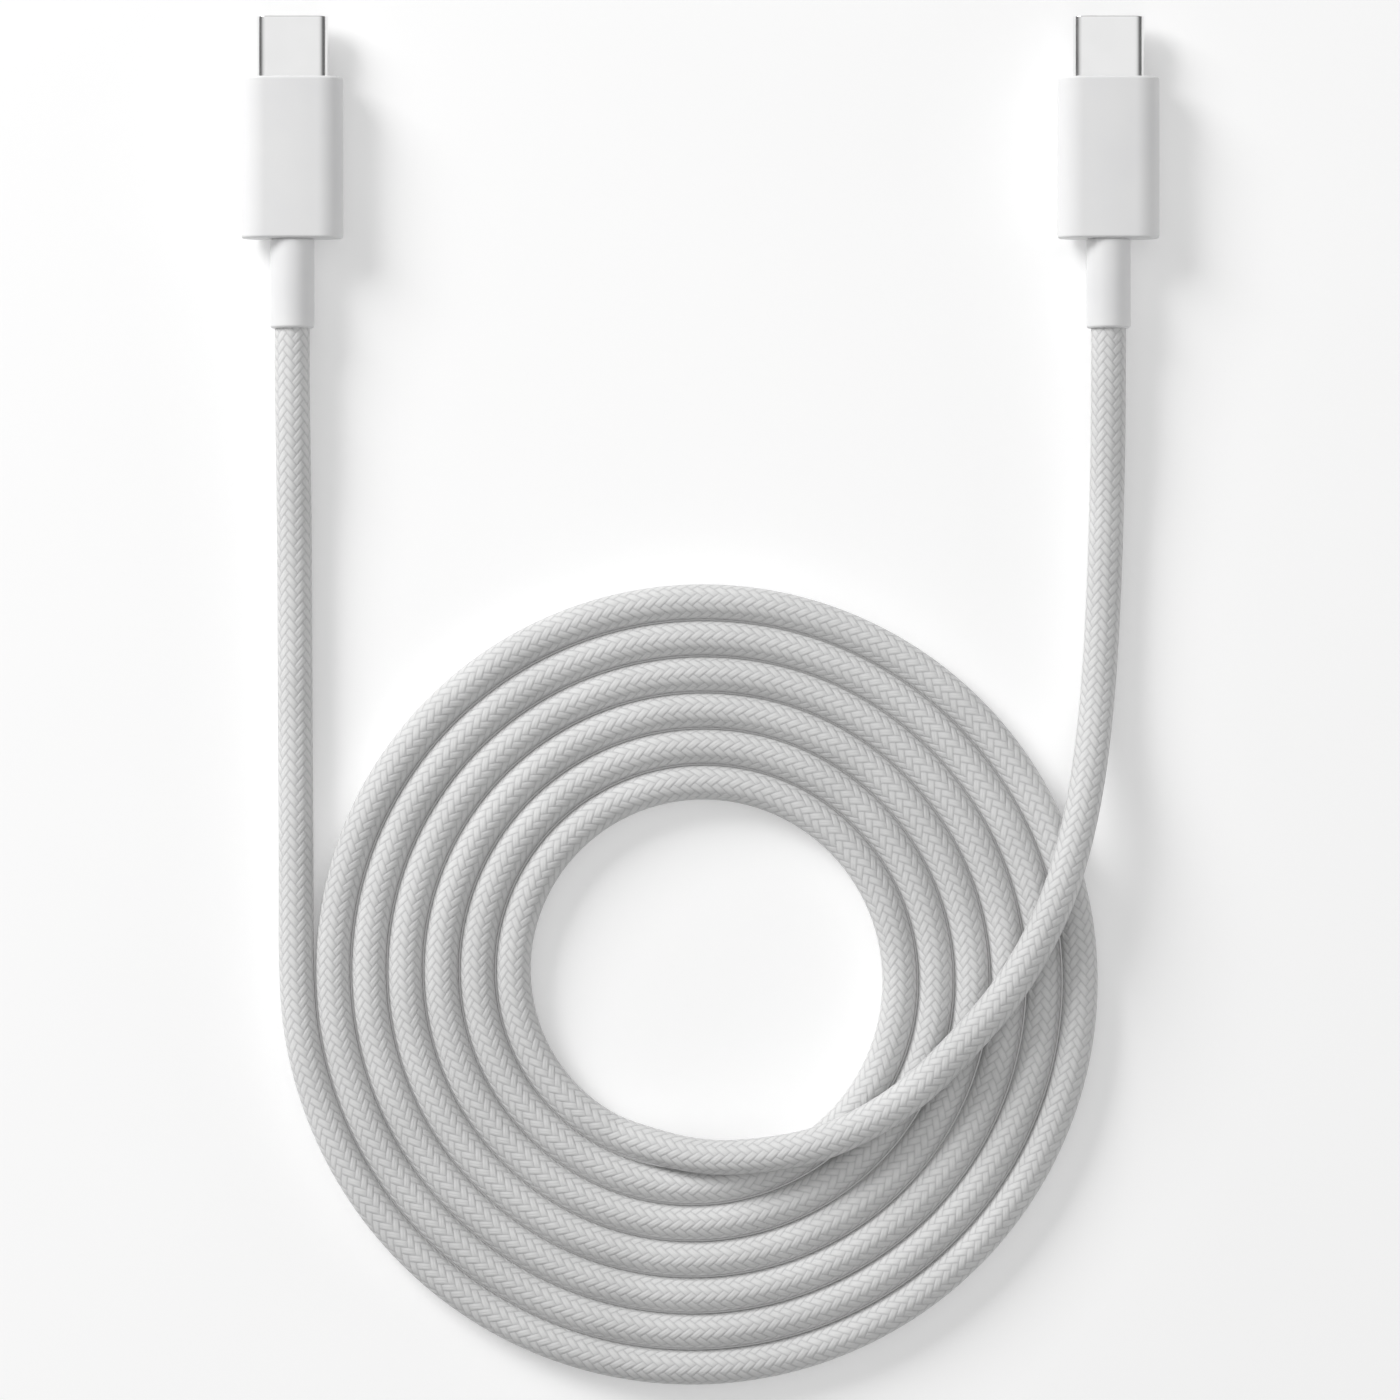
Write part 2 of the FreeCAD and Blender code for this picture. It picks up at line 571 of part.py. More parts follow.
def inner_mould(plug):
    """Plastic moulded around shell, shield, ferrule and cord end. It shows in the housing's mouth."""
    body = new_body("inner_mould", plug)
    gap = "Sizes.mould_gap"
    sketch = section(body, MOULD_START)
    racetrack(sketch, MOULD_WIDTH, MOULD_HEIGHT)
    pad(body, sketch, "Sizes.mould_length")
    sketch = section(body, MOULD_START)
    shell_fit(sketch, gap)
    pocket(body, sketch, f"Sizes.shield_start - {MOULD_START}")
    sketch = section(body, f"Sizes.shield_start - {gap}")
    racetrack(sketch, f"({SHIELD_WIDTH} + 2 * {gap})", f"({SHIELD_HEIGHT} + 2 * {gap})")
    pocket(body, sketch, f"Sizes.shield_length + 2 * {gap}")
    sketch = section(body, SHIELD_END)
    circle(sketch, f"{CRIMP_OUTER} + 2 * {gap}")
    pocket(body, sketch, f"Sizes.crimp_length + 2 * {gap}")
    sketch = section(body, SHIELD_END)
    circle(sketch, RELIEF_BORE)
    pocket(body, sketch, f"{MOULD_START} + Sizes.mould_length - {SHIELD_END}")


def housing(plug):
    """Outer sleeve. Its front is open around the inner mould, its back holds the strain relief."""
    body = new_body("housing", plug)
    sketch = section(body, "Sizes.shell_exposed")
    racetrack(sketch, HOUSING_WIDTH, HOUSING_HEIGHT)
    pad(body, sketch, "Sizes.housing_length")
    rim = "Sizes.housing_edge_radius"
    round_rim(body, "Sizes.shell_exposed", rim)
    round_rim(body, HOUSING_END, rim)
    sketch = section(body, "Sizes.shell_exposed")
    racetrack(sketch, CAVITY_WIDTH, CAVITY_HEIGHT)
    pocket(body, sketch, "Sizes.housing_length - Sizes.housing_rear_wall")
    sketch = section(body, f"{HOUSING_END} - Sizes.housing_rear_wall")
    circle(sketch, f"{RELIEF_NECK} + 2 * Sizes.relief_gap")
    pocket(body, sketch, "Sizes.housing_rear_wall")


def strain_relief(plug):
    """Soft sleeve on the cord: anchor block in the housing, neck through its wall, sleeve behind."""
    body = new_body("strain_relief", plug)
    wall = f"({HOUSING_END} - Sizes.housing_rear_wall)"
    sleeve = f"({HOUSING_END} + Sizes.relief_recess)"
    end = f"({HOUSING_END} + Sizes.relief_length)"
    sketch = section(body, sleeve)
    circle(sketch, RELIEF_OUTER)
    pad(body, sketch, f"{end} - {sleeve}")
    round_rim(body, end, "Sizes.relief_edge_radius")
    sketch = section(body, wall)
    circle(sketch, RELIEF_NECK)
    pad(body, sketch, f"{sleeve} - {wall}")
    sketch = section(body, f"{wall} - Sizes.anchor_length")
    top = f"{ANCHOR_HEIGHT} / 2"
    rectangle(sketch, f"-{ANCHOR_SIDE}", ANCHOR_SIDE, f"-{top}", top)
    pad(body, sketch, "Sizes.anchor_length")
    sketch = section(body, f"{wall} - Sizes.anchor_length")
    circle(sketch, RELIEF_BORE)
    pocket(body, sketch, f"{end} - {wall} + Sizes.anchor_length")


def cord_layer(name, plug, outer, bore, start):
    """A tubular layer of the cord's end, from its cut end to the back of the strain relief."""
    body = new_body(name, plug)
    sketch = section(body, start)
    circle(sketch, outer)
    circle(sketch, bore)
    pad(body, sketch, f"{PLUG_LENGTH} - {start}")


def wire_height(diameter, side):
    """The wire's axis above or below the card's middle, where it lies along the card."""
    return f"({side} * ({CARD_TOP} + Sizes.wire_lift + {diameter} / 2))"


def wire(name, plug, diameter, x, z, side, card_x):
    """An insulated wire: straight through the cord's end, then spread out and along the card."""
    depth = value("Sizes.wire_end")
    card_end = value(f"{CARD_START} + Sizes.card_length")
    height = value(wire_height(diameter, side))
    points = [
        Vector(x, -value(PLUG_LENGTH), z),
        Vector(x, -(card_end + value("Sizes.fan_length")), z),
        Vector(card_x, -(card_end - value("Sizes.wire_rise")), height),
        Vector(card_x, -depth, height),
    ]
    new_tube(f"{name}_{plug}", points, value(diameter))
    place(subparts[-1], plug)


def wire_cores(plug):
    """The stripped ends of the wires, as one group."""
    body = new_body("wire_cores", plug)
    sketch = section(body, "Sizes.wire_end - Sizes.core_length")
    for _, diameter, _, _, side, card_x in WIRES:
        circle(sketch, f"{diameter} * Sizes.core_share", str(card_x), wire_height(diameter, side))
    pad(body, sketch, "Sizes.core_length")


def solder_joints(plug):
    """Solder between each stripped core and the card, as one group."""
    body = new_body("solder_joints", plug)
    sketch = section(body, "Sizes.wire_end - Sizes.core_length")
    half = "Sizes.solder_width / 2"
    for _, diameter, _, _, side, card_x in WIRES:
        core = f"{diameter} * Sizes.core_share / 2"
        surface = f"{side} * {CARD_TOP}"
        under = f"{side} * ({CARD_TOP} + Sizes.wire_lift + {diameter} / 2 - {core})"
        rectangle(sketch, f"{card_x} - {half}", f"{card_x} + {half}", surface, under)
    pad(body, sketch, "Sizes.solder_length")


def rounded_path(points):
    """Straight runs with a tangent arc at each corner, as large as its shorter run allows."""
    edges = []
    at = points[0]
    radii = []
    for before, corner, after in zip(points, points[1:], points[2:]):
        inward, onward = before - corner, after - corner
        turn = math.pi - inward.getAngle(onward)
        cut = ARC_SHARE * min(inward.Length, onward.Length)
        radii.append(cut / math.tan(turn / 2))
        start = corner + inward.normalize() * cut
        end = corner + onward.normalize() * cut
        middle_way = (inward + onward).normalize()
        sagitta = radii[-1] / math.cos(turn / 2) - radii[-1]
        edges.append(Part.makeLine(at, start))
        edges.append(Part.Arc(start, corner + middle_way * sagitta, end).toShape())
        at = end
    edges.append(Part.makeLine(at, points[-1]))
    return Part.Wire(edges), radii


def new_tube(label, points, diameter):
    """A round tube along the route, checked against section times length."""
    path, radii = rounded_path(points)
    start_way = (points[1] - points[0]).normalize()
    disc = Part.Face(Part.Wire(Part.makeCircle(diameter / 2, points[0], start_way)))
    shape = path.makePipeShell([disc.OuterWire], True, False)
    if not isinstance(shape, Part.Solid):
        shape = shape.Solids[0]
    expected = math.pi * diameter**2 / 4 * path.Length
    if abs(shape.Volume - expected) > VOLUME_SHARE * expected:
        raise ValueError(f"{label}: volume {shape.Volume:.1f}, expected {expected:.1f}")
    least = min(radii)
    print(f"{label}: {path.Length:.1f} mm, radii {[round(r, 1) for r in radii]}")
    print(f"{label}: tightest radius {least:.1f} mm, {least / diameter:.1f} diameters")
    feature = doc.addObject("Part::Feature", label)
    feature.Label = label
    feature.Shape = shape
    subparts.append(feature)


def spiral_turn(sketch, start_radius, vertical):
    """One turn of the coil's edge from start_radius inwards by one pitch: two half circles and a step.

    The turn starts on the left of the centre, or below it if vertical, and runs anticlockwise. The two
    arcs' centres lie half a pitch apart, which puts each quarter of the turn on an even spiral.
    """
    first = value(f"{start_radius} - Sizes.turn_pitch / 4")
    second = first - value("Sizes.turn_pitch") / 2
    shift = value("Sizes.turn_pitch") / 4
    towards = Vector(0, -1, 0) if vertical else Vector(-1, 0, 0)
    angle = math.atan2(towards.y, towards.x)
    up = Vector(0, 0, 1)
    near, far = towards * shift, towards * -shift
    arc_one = Part.ArcOfCircle(Part.Circle(near, up, first), angle, angle + math.pi)
    arc_two = Part.ArcOfCircle(Part.Circle(far, up, second), angle + math.pi, angle + 2 * math.pi)
    step = Part.LineSegment(far + towards * second, near + towards * first)
    one, two, line = (sketch.addGeometry(g) for g in (arc_one, arc_two, step))
    axis = -2 if vertical else -1
    along = "DistanceY" if vertical else "DistanceX"
    constrain(sketch, "Coincident", one, 2, two, 1)
    constrain(sketch, "Coincident", two, 2, line, 1)
    constrain(sketch, "Coincident", line, 2, one, 1)
    for arc in (one, two):
        constrain(sketch, "PointOnObject", arc, 3, axis)
    constrain(sketch, "PointOnObject", one, 1, axis)
    constrain(sketch, "PointOnObject", one, 2, axis)
    constrain(sketch, "PointOnObject", two, 2, axis)
    constrain(sketch, "Radius", one, size=f"{start_radius} - Sizes.turn_pitch / 4")
    constrain(sketch, "Radius", two, size=f"{start_radius} - 3 * Sizes.turn_pitch / 4")
    constrain(sketch, along, one, 3, -1, 1, size="Sizes.turn_pitch / 4")


def cord_coil():
    """The coil as one flat ring between its outermost and innermost edges."""
    body = new_body("cord_coil")
    body.setExpression("Placement.Base.x", "Sizes.coil_centre_x")
    body.setExpression("Placement.Base.y", "Sizes.coil_centre_y")
    sketch = new_sketch(body, "XY_Plane")
    inner = "(Sizes.coil_radius - (Sizes.coil_turns - 1) * Sizes.turn_pitch)"
    spiral_turn(sketch, "(Sizes.coil_radius + Sizes.cord_diameter / 2)", vertical=False)
    spiral_turn(sketch, f"({inner} - Sizes.cord_diameter / 2)", vertical=True)
    pad(body, sketch, "Sizes.cord_diameter")


def cord_flex(plug):
    """The straight stretch of cord behind a strain relief."""
    body = new_body("cord_flex", plug)
    sketch = section(body, PLUG_LENGTH)
    circle(sketch, "Sizes.cord_diameter")
    pad(body, sketch, "Sizes.flex_length")


def cord_leads():
    """The cord from each flex to the coil. Lead b climbs out of the coil and passes over it."""
    half = value("Sizes.plug_spacing / 2")
    flex_end = value(f"-{PLUG_LENGTH} / 2 - Sizes.flex_length")
    height = value(AXIS_HEIGHT)
    floor = value("Sizes.cord_diameter / 2")
    centre_x, centre_y = value("Sizes.coil_centre_x"), value("Sizes.coil_centre_y")
    outer = value("Sizes.coil_radius")
    inner = value("Sizes.coil_radius - Sizes.coil_turns * Sizes.turn_pitch")
    start_a = Vector(-half, flex_end, height)
    end_a = Vector(centre_x - outer, centre_y, floor)
    start_b = Vector(centre_x, centre_y - inner, floor)
    end_b = Vector(half, flex_end, height)
    diameter = value("Sizes.cord_diameter")
    new_tube("cord_lead_a", [start_a, *(Vector(*p) for p in LEAD_A_MIDDLE), end_a], diameter)
    new_tube("cord_lead_b", [start_b, *(Vector(*p) for p in LEAD_B_MIDDLE), end_b], diameter)


def plug_pieces(plug):
    shell(plug)
    insulator(plug)
    for side, row in (("", "top"), ("-", "bottom")):
        contacts(plug, side, row)
        ground_spring(plug, side, row)
    latch_spring(plug)
    paddle_card(plug)
    bypass_capacitors(plug)
    rear_shield(plug, "", "top")
    rear_shield(plug, "-", "bottom")
    crimp_ring(plug)
    inner_mould(plug)
    housing(plug)
    strain_relief(plug)
    cord_layer("jacket_end", plug, "Sizes.cord_diameter", "Sizes.jacket_bore", "Sizes.jacket_start")
    cord_layer("screen_end", plug, "Sizes.screen_outer", "Sizes.screen_bore", "Sizes.screen_start")
    for name, diameter, x, z, side, card_x in WIRES:
        wire(name, plug, diameter, x, z, side, card_x)
    wire_cores(plug)
    solder_joints(plug)
    cord_flex(plug)


def write_parts():
    """Checks every object, then writes one file a sub-part."""
    failed = [o.Label for o in doc.Objects if {"Invalid", "Error"} & set(o.State)]
    if failed:
        raise ValueError(f"failed to compute: {failed}")
    for piece in subparts:
        if piece.Shape.isNull() or not piece.Shape.isValid() or not piece.Shape.Solids:
            raise ValueError(f"{piece.Label} has no valid solid")
    os.makedirs("parts", exist_ok=True)
    for piece in subparts:
        piece.Shape.exportStep(os.path.join("parts", f"{piece.Label}.step"))
        box = piece.Shape.BoundBox
        extent = f"{box.XLength:.2f} x {box.YLength:.2f} x {box.ZLength:.2f}"
        print(f"{piece.Label}: {len(piece.Shape.Solids)} solids, {piece.Shape.Volume:.2f} mm3, {extent}")


fill_sheet()
for letter in ("a", "b"):
    plug_pieces(letter)
cord_coil()
cord_leads()
doc.recompute()
write_parts()
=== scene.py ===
# %% [markdown]
# # A braided charging cable with two reversible plugs
#
# The cable lies on a table, seen from straight above: two white plugs with steel shells point away from
# the reader, and about one and a half metres of braided cord between them is wound into a flat coil. The
# CAD model fixes every size. This lesson gives it its looks, piece by piece, in the CAD model's own frame,
# in metres. Z is up, X runs from plug a to plug b, and both tips point along +Y.

# %% Load the CAD frame
import math

import bmesh
import bpy
from mathutils import Matrix, Vector


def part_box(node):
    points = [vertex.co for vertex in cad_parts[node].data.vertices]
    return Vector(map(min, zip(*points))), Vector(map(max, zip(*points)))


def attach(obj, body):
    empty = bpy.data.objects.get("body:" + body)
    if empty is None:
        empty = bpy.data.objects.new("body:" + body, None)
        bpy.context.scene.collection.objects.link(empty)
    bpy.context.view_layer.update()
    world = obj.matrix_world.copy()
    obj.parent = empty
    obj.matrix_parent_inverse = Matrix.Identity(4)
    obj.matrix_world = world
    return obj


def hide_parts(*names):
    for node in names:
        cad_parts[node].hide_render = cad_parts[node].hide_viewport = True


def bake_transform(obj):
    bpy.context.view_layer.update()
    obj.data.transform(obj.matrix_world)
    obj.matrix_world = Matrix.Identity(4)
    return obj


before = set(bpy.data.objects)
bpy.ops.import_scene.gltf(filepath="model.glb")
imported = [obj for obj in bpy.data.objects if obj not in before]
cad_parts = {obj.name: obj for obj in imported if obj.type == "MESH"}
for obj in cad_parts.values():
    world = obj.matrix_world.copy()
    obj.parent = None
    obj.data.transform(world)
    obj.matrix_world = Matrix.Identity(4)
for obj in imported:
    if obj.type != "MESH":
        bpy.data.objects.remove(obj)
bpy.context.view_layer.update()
MM = 0.001

# %% [markdown]
# ## Measuring the plugs
#
# Both plugs are the same, so one table of depths behind the tip serves them. The CAD nodes' boxes give
# every length, which keeps each new piece on its CAD piece even if a size changes there later.

# %% Measure a plug


def plug_sizes(plug):
    """Places and sizes of one plug's outer pieces, from its CAD nodes."""
    boxes = {name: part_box(f"{name}_{plug}") for name in ("shell", "housing", "strain_relief", "cord_flex")}
    shell_low, shell_high = boxes["shell"]
    housing_low, housing_high = boxes["housing"]
    relief_low, relief_high = boxes["strain_relief"]
    flex_low, flex_high = boxes["cord_flex"]
    return {
        "x": (housing_low.x + housing_high.x) / 2,
        "z": (housing_low.z + housing_high.z) / 2,
        "tip": shell_high.y,
        "shell_end": shell_low.y,
        "shell_width": shell_high.x - shell_low.x,
        "shell_height": shell_high.z - shell_low.z,
        "front": housing_high.y,
        "back": housing_low.y,
        "width": housing_high.x - housing_low.x,
        "height": housing_high.z - housing_low.z,
        "anchor_front": relief_high.y,
        "anchor_width": relief_high.x - relief_low.x,
        "exit": relief_low.y,
        "relief": relief_high.z - relief_low.z,
        "cord": flex_high.x - flex_low.x,
        "flex_end": flex_low.y,
    }


PLUGS = {plug: plug_sizes(plug) for plug in "ab"}
CORD = PLUGS["a"]["cord"]
for plug, sizes in PLUGS.items():
    print(plug, {name: round(size / MM, 2) for name, size in sizes.items()})

# %% [markdown]
# ## Camera
#
# The view is from straight above with a long lens, so that the plugs at the edge of the picture don't lean
# outwards. A camera points along its own -Z with +Y up in the picture, so it needs no turning at all. Its
# height follows from the lens and the sensor, both in mm, and from the width that the picture takes in.

# %% Place the camera
SENSOR = 36.0
LENS = 200.0
CLIP_NEAR = 0.01
CLIP_FAR = 10.0
VIEW_WIDTH = 160.55 * MM
VIEW_CENTRE = Vector((-0.05, -60.5, 3.0)) * MM

camera_data = bpy.data.cameras.new("studio_camera")
camera_data.sensor_width = SENSOR
camera_data.lens = LENS
camera_data.clip_start = CLIP_NEAR
camera_data.clip_end = CLIP_FAR
camera = bpy.data.objects.new("studio_camera", camera_data)
camera.location = VIEW_CENTRE + Vector((0, 0, VIEW_WIDTH * LENS / SENSOR))
bpy.context.scene.collection.objects.link(camera)
bpy.context.scene.camera = camera
print("camera height:", round(camera.location.z, 3), "m")

# %% [markdown]
# ## The cord's route
#
# A real cord keeps its length and lies under its own weight. From plug a it drops to the table and runs
# into the outermost turn of the coil. The coil winds inwards for six and a quarter turns, and from its
# innermost turn the cord climbs onto the others, crosses them and comes down again before plug b.
#
# The route is a NURBS curve of order 3, whose control points, in mm, pull it into smooth bends. The coil's
# points come from a loop. Such a curve cuts inside its control points by the cosine of half a step, so the
# loop pushes them out by as much.

# %% Points of the route
COIL_CENTRE = Vector((-0.33, -92.12, 2.0))
COIL_RADIUS = 46.01
TURN_PITCH = 4.147
COIL_START = 180
POINTS_PER_TURN = 40
STEP = 360 / POINTS_PER_TURN
BULGE = 1 / math.cos(math.radians(STEP / 2))

LEAD_A = [
    (-46.8, -17.9, 3.0),
    (-46.8, -24.0, 3.0),
    (-46.7, -31.0, 2.9),
    (-46.6, -41.0, 2.1),
    (-46.55, -52.0, 2.0),
    (-46.5, -64.5, 2.0),
    (-46.4, -78.5, 2.0),
]
LEAD_B = [
    (-0.4, -113.0, 4.0),
    (6.9, -112.7, 5.5),
    (14.9, -111.1, 6.2),
    (23.9, -106.1, 6.2),
    (31.9, -97.9, 6.2),
    (36.2, -92.4, 6.2),
    (39.8, -85.9, 6.2),
    (42.2, -79.4, 6.1),
    (44.2, -70.9, 5.2),
    (45.6, -60.5, 2.4),
    (46.3, -49.0, 2.0),
    (46.65, -37.6, 2.2),
    (46.8, -28.0, 3.0),
    (46.8, -17.9, 3.0),
]


def on_coil(angle, push=1.0):
    """A point of the coil's centreline at an angle in degrees, anticlockwise from above, pushed out."""
    radius = (COIL_RADIUS - TURN_PITCH * (angle - COIL_START) / 360) * push
    return COIL_CENTRE + radius * Vector((math.cos(math.radians(angle)), math.sin(math.radians(angle)), 0))


def coil_points(first, steps):
    """Control points of the coil from an angle on, one step apart."""
    return [on_coil(first + n * STEP, BULGE) for n in range(steps)]


print("points in a whole turn:", POINTS_PER_TURN, "pushed out by", round(BULGE, 5))

# %% [markdown]
# ## From a route to a cord
#
# The cord is a mesh. The curve is drawn twice: once bare, which gives the centreline's points, and once with
# a round bevel, which gives the tube. A twist mode of MINIMUM keeps the rings from turning about the line,
# so the braid drawn on the tube stays straight.
#
# The braid needs to know where it is along the cord and around it. The tube's rings come in order, each
# with as many points as the next, so a UV map in metres along and around is read straight from the order.

# %% Helpers for the cord
SPAN_RINGS = 6
BEVEL_RESOLUTION = 14


def route_mesh(points, radius):
    """A NURBS curve of order 3 along the route, in mm, as a mesh: a tube, or a line if radius is 0."""
    data = bpy.data.curves.new("route", "CURVE")
    data.dimensions = "3D"
    data.twist_mode = "MINIMUM"
    data.resolution_u = SPAN_RINGS
    data.bevel_depth = radius
    data.bevel_resolution = BEVEL_RESOLUTION
    spline = data.splines.new("NURBS")
    spline.points.add(len(points) - 1)
    for control, point in zip(spline.points, points):
        control.co = (*(Vector(point) * MM), 1)
    spline.order_u = 3
    spline.use_endpoint_u = True
    curve = bpy.data.objects.new("route", data)
    mesh = bpy.data.meshes.new_from_object(curve)
    bpy.data.objects.remove(curve)
    return mesh


def length_of(line):
    """The length of a row of points."""
    return sum((b - a).length for a, b in zip(line, line[1:]))


def roll_at_seam(mesh, line, seam):
    """How far the first point of the ring at the seam, 0 or -1, is turned from the top, in turns."""
    sides = len(mesh.vertices) // len(line)
    ahead = line[1] - line[0] if seam == 0 else line[-1] - line[-2]
    arm = mesh.vertices[seam % len(line) * sides].co - line[seam]
    across = Vector((0, 0, 1)).cross(ahead).normalized()
    up = ahead.cross(across).normalized()
    return math.atan2(arm.dot(across), arm.dot(up)) / (2 * math.pi)


def lay_uv(mesh, line, start, seam):
    """Writes the UV map, in metres along the cord and around it, and returns the points in a ring."""
    along = [start]
    for a, b in zip(line, line[1:]):
        along.append(along[-1] + (b - a).length)
    sides = len(mesh.vertices) // len(line)
    around = math.pi * CORD
    roll = roll_at_seam(mesh, line, seam)
    while mesh.uv_layers:
        mesh.uv_layers.remove(mesh.uv_layers[0])
    layer = mesh.uv_layers.new(name="braid")
    for face in mesh.polygons:
        places = [divmod(mesh.loops[loop].vertex_index, sides) for loop in face.loop_indices]
        wraps = max(side for _, side in places) - min(side for _, side in places) > sides / 2
        for loop, (ring, side) in zip(face.loop_indices, places):
            turn = side + sides if wraps and side < sides / 2 else side
            layer.data[loop].uv = (along[ring], (turn / sides - roll) * around)
    return sides


def close_ends(mesh):
    """Puts a cap on both open ends of a tube, with a sharp edge around it."""
    bm = bmesh.new()
    bm.from_mesh(mesh)
    rims = [edge for edge in bm.edges if edge.is_boundary]
    bmesh.ops.holes_fill(bm, edges=rims)
    bmesh.ops.recalc_face_normals(bm, faces=bm.faces)
    for face in bm.faces:
        face.smooth = True
    for edge in rims:
        edge.smooth = False
    bm.to_mesh(mesh)
    bm.free()


def make_cord(name, points, start, seam):
    """A tube along the route with its UV map, and the centreline's points."""
    line = [v.co.copy() for v in route_mesh(points, 0).vertices]
    mesh = route_mesh(points, CORD / 2)
    sides = lay_uv(mesh, line, start, seam)
    close_ends(mesh)
    cord = bpy.data.objects.new(name, mesh)
    bpy.context.scene.collection.objects.link(cord)
    print(name, round(length_of(line), 4), "m,", len(line), "rings of", sides)
    return cord, line


# %% [markdown]
# ## Two lengths of cord
#
# Each plug swings on its own hinge, and a mesh may bend across one hinge only, so the cord is made as two
# tubes. They meet on the outermost turn, just under the crossing, where the joint is out of sight. Halfway
# between two of the coil's control points the curve touches its own control leg, so a route may end there
# without a kink. A small lead-in turns the whole row of points, which brings that place under the crossing.
# The second tube's UV map starts where the first one's ends, so that the braid runs on.

# %% Make both lengths
STEPS_A = 22
STEPS_B = 226
LEAD_IN = 2.2
FIRST_ANGLE = COIL_START + LEAD_IN
MEETING = FIRST_ANGLE + (STEPS_A - 0.5) * STEP

route_a = [Vector(p) for p in LEAD_A] + coil_points(FIRST_ANGLE, STEPS_A) + [on_coil(MEETING)]
cord_a, line_a = make_cord("cord_from_plug_a", route_a, 0, -1)
route_b = [on_coil(MEETING)] + coil_points(MEETING + STEP / 2, STEPS_B) + [Vector(p) for p in LEAD_B]
cord_b, line_b = make_cord("cord_from_plug_b", route_b, length_of(line_a), 0)
print("lengths meet at", round(MEETING % 360, 1), "degrees")

# %% [markdown]
# Each tube takes the place of the CAD model's cord pieces on its side, which are hidden, and its place is
# written into its mesh. The two lengths together are the cord between the strain reliefs.

for plug, cord, line, nodes in (
    ("a", cord_a, line_a, ("cord_flex_a", "cord_lead_a")),
    ("b", cord_b, line_b, ("cord_coil", "cord_lead_b", "cord_flex_b")),
):
    sizes = PLUGS[plug]
    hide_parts(*nodes)
    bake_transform(cord)
print("cord between the plugs:", round(length_of(line_a) + length_of(line_b), 3), "m")

# %% [markdown]
# ## Building materials with a few short helpers
#
# Every finish here is a node tree. Short helpers keep the trees readable: new_finish makes a material with
# its main shader, put and add set and join the inputs of nodes, and calc and choose do arithmetic.

# %% Helpers for materials


def new_finish(name):
    """A material with an empty tree but for its shader and output."""
    material = bpy.data.materials.new(name)
    material.use_nodes = True
    tree = material.node_tree
    tree.nodes.clear()
    shader = tree.nodes.new("ShaderNodeBsdfPrincipled")
    output = tree.nodes.new("ShaderNodeOutputMaterial")
    tree.links.new(shader.outputs["BSDF"], output.inputs["Surface"])
    return material, tree, shader


def put(tree, value, socket):
    """Joins a socket's output to an input, or sets the input to a plain value."""
    if isinstance(value, bpy.types.NodeSocket):
        tree.links.new(value, socket)
    else:
        socket.default_value = value


def add(tree, kind, inputs=(), **settings):
    """A node of this kind, with its settings and its inputs by name or number."""
    node = tree.nodes.new(f"ShaderNode{kind}")
    for name, setting in settings.items():
        setattr(node, name, setting)
    for name, value in dict(inputs).items():
        put(tree, value, node.inputs[name])
    return node


def calc(tree, operation, *values):
    """One step of arithmetic on numbers or sockets."""
    inputs = dict(enumerate(values))
    return add(tree, "Math", inputs, operation=operation).outputs[0]


def choose(tree, share, low, high):
    """low where share is 0, high where it is 1."""
    return add(tree, "Mix", {0: share, 2: low, 3: high}, data_type="FLOAT").outputs[0]


# %% [markdown]
# Three more helpers are for what every finish needs: a colour ramp, noise that stays fixed to its piece, and
# a bump. They work in metres, so that a grain keeps its real size on any piece.

# %% Helpers for colour, noise and bumps


def shades(tree, share, *stops):
    """A colour ramp: stops are a place and a grey level, or a place and a colour."""
    ramp = add(tree, "ValToRGB", {0: share})
    elements = ramp.color_ramp.elements
    while len(elements) < len(stops):
        elements.new(0.5)
    for element, (place, colour) in zip(elements, stops):
        element.position = place
        element.color = (*colour, 1) if isinstance(colour, tuple) else (colour, colour, colour, 1)
    return ramp.outputs[0]


def object_noise(tree, scale, detail=3.0, roughness=0.5, stretch=(1, 1, 1)):
    """Noise fixed to the piece, from 0 to 1. Scale is in repeats a metre."""
    place = add(tree, "TexCoord").outputs["Object"]
    spread = add(tree, "Mapping", {"Vector": place, "Scale": stretch}).outputs[0]
    inputs = {"Vector": spread, "Scale": scale, "Detail": detail, "Roughness": roughness}
    return add(tree, "TexNoise", inputs).outputs[0]


def bump(tree, height, depth, before=None, strength=1.0):
    """Turns a height from 0 to 1 into a surface that is depth metres deep."""
    inputs = {"Height": height, "Distance": depth, "Strength": strength}
    if before is not None:
        inputs["Normal"] = before
    return add(tree, "Bump", inputs).outputs[0]


# %% [markdown]
# ## The braid
#
# The cord's cover is braided from 24 white yarns, twelve wound each way. Each passes over two yarns of the
# other set, then under two, which makes columns of slanted floats that meet in arrowheads along the cord.
#
# Real yarns would need millions of faces. A bump pattern gives the same look: the UV map in metres is cut
# along both slants, so that every point knows which yarn of each set passes there. Counting one set minus
# the other, modulo four, says which yarn is on top. Each float is highest in its middle and dips at both
# ends, and it is split into two parallel ends of thread, as a real yarn is.

# %% Pattern of the braid
YARNS_EACH_WAY = 12
YARN_SPACING = math.pi * CORD / YARNS_EACH_WAY
YARN_PITCH = 1.25 * MM
OVER = 2


